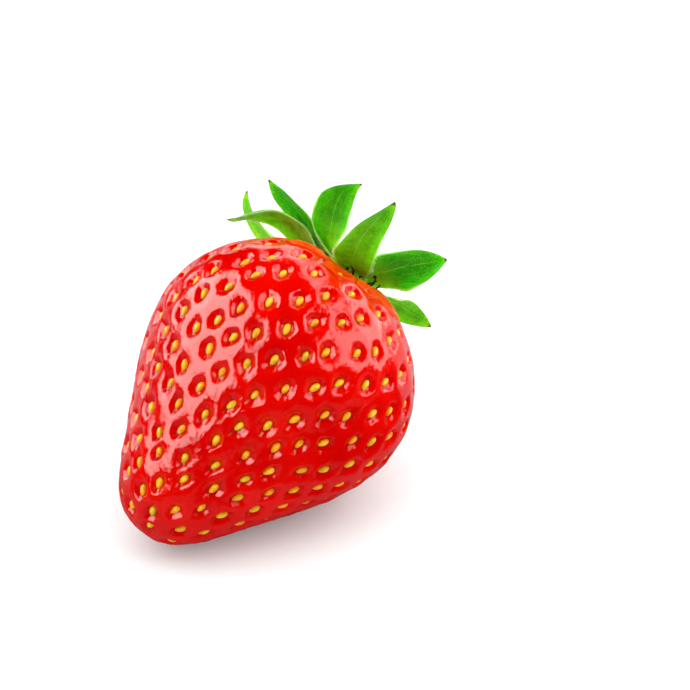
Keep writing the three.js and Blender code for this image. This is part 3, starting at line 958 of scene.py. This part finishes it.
def leaf_green(n, light, dried):
    """Leaf tissue: from yellow-green at the root to green, with faint veins, pale specks
    where short hairs stand, and a point and margin that have dried dark. Each leaf's green is
    made lighter or darker by its share of light, partly its own tone and partly painted light."""
    under = {"Subsurface_Scale": 0.001, "Subsurface_Radius": (0.5, 1.0, 0.08)}
    material, tree, coat = finish_named(f"leaf_green_{n}", 0.36, Specular_IOR_Level=0.28, **under)
    along, across = mark(tree, "along"), mark(tree, "across")

    def sum_of(a, factor, b):
        made = node(tree, "Math", operation="MULTIPLY_ADD")
        link(tree, a, made.inputs[0])
        made.inputs[1].default_value = factor
        if isinstance(b, float):
            made.inputs[2].default_value = b
        else:
            link(tree, b, made.inputs[2])
        return made.outputs[0]

    def rising(value, low, high, most=1.0):
        band = node(tree, "MapRange", From_Min=low, From_Max=high, To_Max=most)
        band.interpolation_type = "SMOOTHSTEP"
        link(tree, value, band.inputs["Value"])
        return band.outputs[0]

    def lines(value, width, strength):
        """Thin lines where the value is a whole number."""
        off = node(tree, "Math", operation="PINGPONG")
        link(tree, value, off.inputs[0])
        off.inputs[1].default_value = 0.5
        return rising(off.outputs[0], width, 0.0, strength)

    def joined(operation, a, b):
        made = node(tree, "Math", operation=operation)
        link(tree, a, made.inputs[0])
        link(tree, b, made.inputs[1])
        return made.outputs[0]

    # From root to tip, over a cloudy border: root, neck, body and far end.
    cloud = cloudy(tree, 900.0, 4.0)
    # Painted light, in part: the share of light lifts the green of leaves that look lit through and deepens
    # that of shaded ones.
    body = deep_green + (fresh_green - deep_green) * light
    neck = 0.5 * root_green + 0.5 * body
    far = 0.75 * (deep_green + (fresh_green - deep_green) * light * 0.5)
    stops = [(0.0, root_green), (0.2 + 0.15 * light, neck), (0.42 + 0.2 * light, body), (0.85, far)]
    green = shades(tree, sum_of(cloud, 0.16, sum_of(along, 1.0, -0.08)), stops)
    patch = shades(tree, cloud, [(0.32, (0.6, 0.72, 0.6)), (0.68, (1.25, 1.2, 1.2))])
    tissue = multiplied(tree, green, patch)

    # The midrib, two long veins on each side of it, and side veins that slant to the tip.
    off_line = sum_of(cloudy(tree, 600.0, 3.0), 1.0, -0.5)
    fold = node(tree, "Math", operation="ABSOLUTE")
    link(tree, across, fold.inputs[0])
    wavy = sum_of(off_line, 0.9, sum_of(across, 2.6, 0.0))
    slanted = sum_of(off_line, 1.8, sum_of(along, 7.5, sum_of(fold.outputs[0], -2.3, 0.0)))
    veins = joined("MAXIMUM", lines(wavy, 0.045, 0.6), lines(slanted, 0.035, 0.4))
    veins = joined("MAXIMUM", veins, lines(sum_of(across, 0.5, 0.0), 0.018, 1.0))
    veins = joined("MULTIPLY", veins, rising(along, 0.95, 0.7))
    veins = joined("MULTIPLY", veins, rising(cloud, 0.25, 0.5))
    hairs = node(tree, "TexVoronoi", Scale=3600.0)
    link(tree, node(tree, "TexCoord").outputs["Object"], hairs.inputs["Vector"])
    specks = rising(hairs.outputs["Distance"], 0.45, 0.1, 0.3)
    pale = 0.35 * body + 0.65 * np.array(vein_green)
    tissue = mixed(tree, joined("MAXIMUM", sum_of(veins, 0.65, 0.0), specks), tissue, pale)

    # Both margins are pale beside the root, and brown towards the dried point.
    near_margin = rising(fold.outputs[0], 0.88, 0.98, 0.75)
    tissue = mixed(tree, joined("MULTIPLY", near_margin, rising(along, 0.8, 0.5)), tissue, margin_green)
    edge = joined("MULTIPLY", rising(fold.outputs[0], 0.86, 1.0, 0.6), rising(along, 0.55, 0.9))
    point = rising(sum_of(cloud, 0.06, along), 1.03 - dried, 1.03 - 0.4 * dried)
    colour = mixed(tree, joined("MAXIMUM", edge, point), tissue, dried_brown)
    link(tree, colour, coat.inputs["Base Color"])
    link(tree, rising(point, 1.0, 0.0, 0.8), coat.inputs["Subsurface Weight"])
    grained(tree, coat, sum_of(cloud, 0.5, veins), 0.5, 0.00006)
    return material


for n, line in enumerate(sepal_leaves):
    points, faces, along, across = leaf(n, *line[:6])
    made = piece(f"sepal_{line[0]:03d}", points, faces, leaf_green(n, *line[6:]), "calyx")
    marked(made, along=along, across=across)
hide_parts("calyx")


# ---- the hairs of the calyx ----
# Short white hairs: a fringe along both margins of every leaf, and a few on its faces.
hairs_per_margin = 190
hairs_per_face = 130
hair_length, hair_radii = 0.34, [0.01, 0.008, 0.004]


def fringe():
    parts = []
    for n, (at, length, width, *bend) in enumerate(sepal_leaves):
        rows = blade(n, at, length, width, *bend[:3])
        for k in range(2 * (hairs_per_margin + hairs_per_face)):
            i = 6 + int((len(rows) - 11) * (0.5 + 0.5 * draw(k, 41 + n)))
            edge = k < 2 * hairs_per_margin
            side = 1 if k % 2 else -1
            t = side * (1.0 if edge else abs(draw(k, 52 + n)))
            share = 0.5 + 0.5 * draw(k, 63 + n)
            foot = (1 - share) * crossing(n, width, rows[i], t)
            foot += share * crossing(n, width, rows[i + 1], t)
            _, _, across, normal, _ = rows[i]
            ahead = unit(rows[i + 1][1] - rows[i][1])
            if edge:
                way = side * across + 0.5 * ahead + 0.5 * draw(k, 74 + n) * normal
            else:
                way = 0.9 * side * normal + 0.8 * ahead + 0.4 * draw(k, 74 + n) * across
            way = unit(way)
            long = hair_length * (1 + 0.35 * draw(k, 85 + n)) * (1.2 - 0.5 * rows[i][0])
            bent = foot + 0.55 * long * way
            tip = bent + 0.5 * long * unit(way + 0.7 * ahead)
            parts.append(tube([foot - 0.03 * way, bent, tip], hair_radii, 3))
    points, faces = gathered(parts)
    return laid(points), faces


def white_hair():
    material, _, coat = finish_named("white_hair", 0.5, Subsurface_Weight=0.3, Subsurface_Scale=0.0002)
    coat.inputs["Base Color"].default_value = (0.80, 0.88, 0.62, 1)
    return material


piece("calyx_hairs", *fringe(), white_hair(), "calyx")


# ---- the stamens ----
# What is left of the flower: some two dozen dried filaments, dark and curled, that lean out
# from under the rim of the hub, a few still with the husk of an anther.
stamen_count = 24
stamen_length, stamen_ring, stamen_foot = 2.7, hub_radius - 0.25, seat_gap + 0.4
stamen_radii = [0.16, 0.14, 0.12, 0.11, 0.11, 0.11, 0.11, 0.13, 0.15, 0.09]
husk_radius = 0.14  # what a whole husk adds near the end
# They rise on the side where the leaves stand away, and lie under the leaves elsewhere.
open_side, open_share = math.radians(165), 0.1
flat_tilt = math.radians(4)


def stamen_threads():
    parts = []
    steps = len(stamen_radii) - 1
    axis = np.array([1.0, 0, 0])
    for n in range(stamen_count):
        t = (n + 0.35 * draw(n, 5)) / stamen_count * 2 * math.pi
        out, aside = np.array([0, math.cos(t), math.sin(t)]), np.array([0, -math.sin(t), math.cos(t)])
        risen = math.cos(t - open_side) > open_share
        tilt = math.radians(24 + 16 * draw(n, 6)) if risen else flat_tilt
        bend = 2.6 if risen else 0.4
        long = stamen_length * (1 + 0.25 * draw(n, 7))
        foot = np.array([0, *calyx_aside]) + stamen_ring * out
        foot[0] = skin_over(foot[1], foot[2]) + stamen_foot
        path = [foot]
        for k in range(1, steps + 1):
            share = k / steps
            curl = 2.6 * draw(n, 8) * share
            lean_out = tilt + bend * share * share * draw(n, 9)
            step = math.cos(lean_out) * out + math.sin(lean_out) * axis
            step = math.cos(curl) * step + math.sin(curl) * aside
            path.append(path[-1] + step * long / steps)
        radii = list(stamen_radii)
        radii[-2] += husk_radius * max(0, draw(n, 10))
        parts.append(tube(path, radii, 7))
    points, faces = gathered(parts)
    return laid(points), faces


def dried_stamen():
    material, tree, coat = finish_named("dried_stamen", 0.6)
    stops = [(0.35, (0.012, 0.008, 0.005)), (0.7, (0.09, 0.045, 0.02))]
    link(tree, shades(tree, cloudy(tree, 1800.0, 2.0), stops), coat.inputs["Base Color"])
    return material


piece("stamens", *stamen_threads(), dried_stamen(), "calyx")


# ---- the cut stem ----
# The stump of the fruit's stalk: a pale green cylinder, a little swollen where it joins the
# hub, and cut across, with a raised lip round the sunken middle of its cut.
stem_radius, stem_length, stem_gap = 1.15, 2.6, 0.4
# Its section, from the middle of its foot to the middle of the cut, in shares of these.
stem_section = [(0.0, 0.0), (0.7, 0), (1.15, 0.0), (1.25, 0.03), (1.2, 0.12), (1.06, 0.24)]
stem_section += [(1.0, 0.36), (0.95, 0.55), (0.92, 0.78), (0.95, 0.92), (0.99, 0.98)]
stem_section += [(0.96, 1.0), (0.8, 0.995), (0.55, 0.975), (0.3, 0.97), (0.0, 0.97)]


def stem_stump():
    foot = skin_over(*calyx_aside) + seat_gap + hub_section[-1][1] * hub_thickness + stem_gap
    around = 36
    points = []
    for share, high in stem_section[1:-1]:
        for k in range(around):
            t = 2 * math.pi * k / around
            flute = 1 + 0.025 * math.cos(6 * t) + 0.01 * math.cos(11 * t + 1)
            y = calyx_aside[0] + share * stem_radius * flute * math.cos(t)
            z = calyx_aside[1] + share * stem_radius * flute * math.sin(t)
            points.append([foot + high * stem_length, y, z])
    for _, high in (stem_section[0], stem_section[-1]):
        points.append([foot + high * stem_length, *calyx_aside])
    return laid(np.array(points)), ring_faces(len(stem_section) - 2, around)


def stalk_green():
    under = {"Subsurface_Weight": 0.25, "Subsurface_Scale": 0.0008, "Subsurface_Radius": (0.6, 1.0, 0.3)}
    material, tree, coat = finish_named("stalk_green", 0.5, **under)
    stops = [(0.3, (0.22, 0.36, 0.06)), (0.7, (0.42, 0.55, 0.16))]
    link(tree, shades(tree, cloudy(tree, 1400.0, 3.0), stops), coat.inputs["Base Color"])
    return material


stem = piece("stem_stump", *stem_stump(), stalk_green(), "stem")
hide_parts("stem")
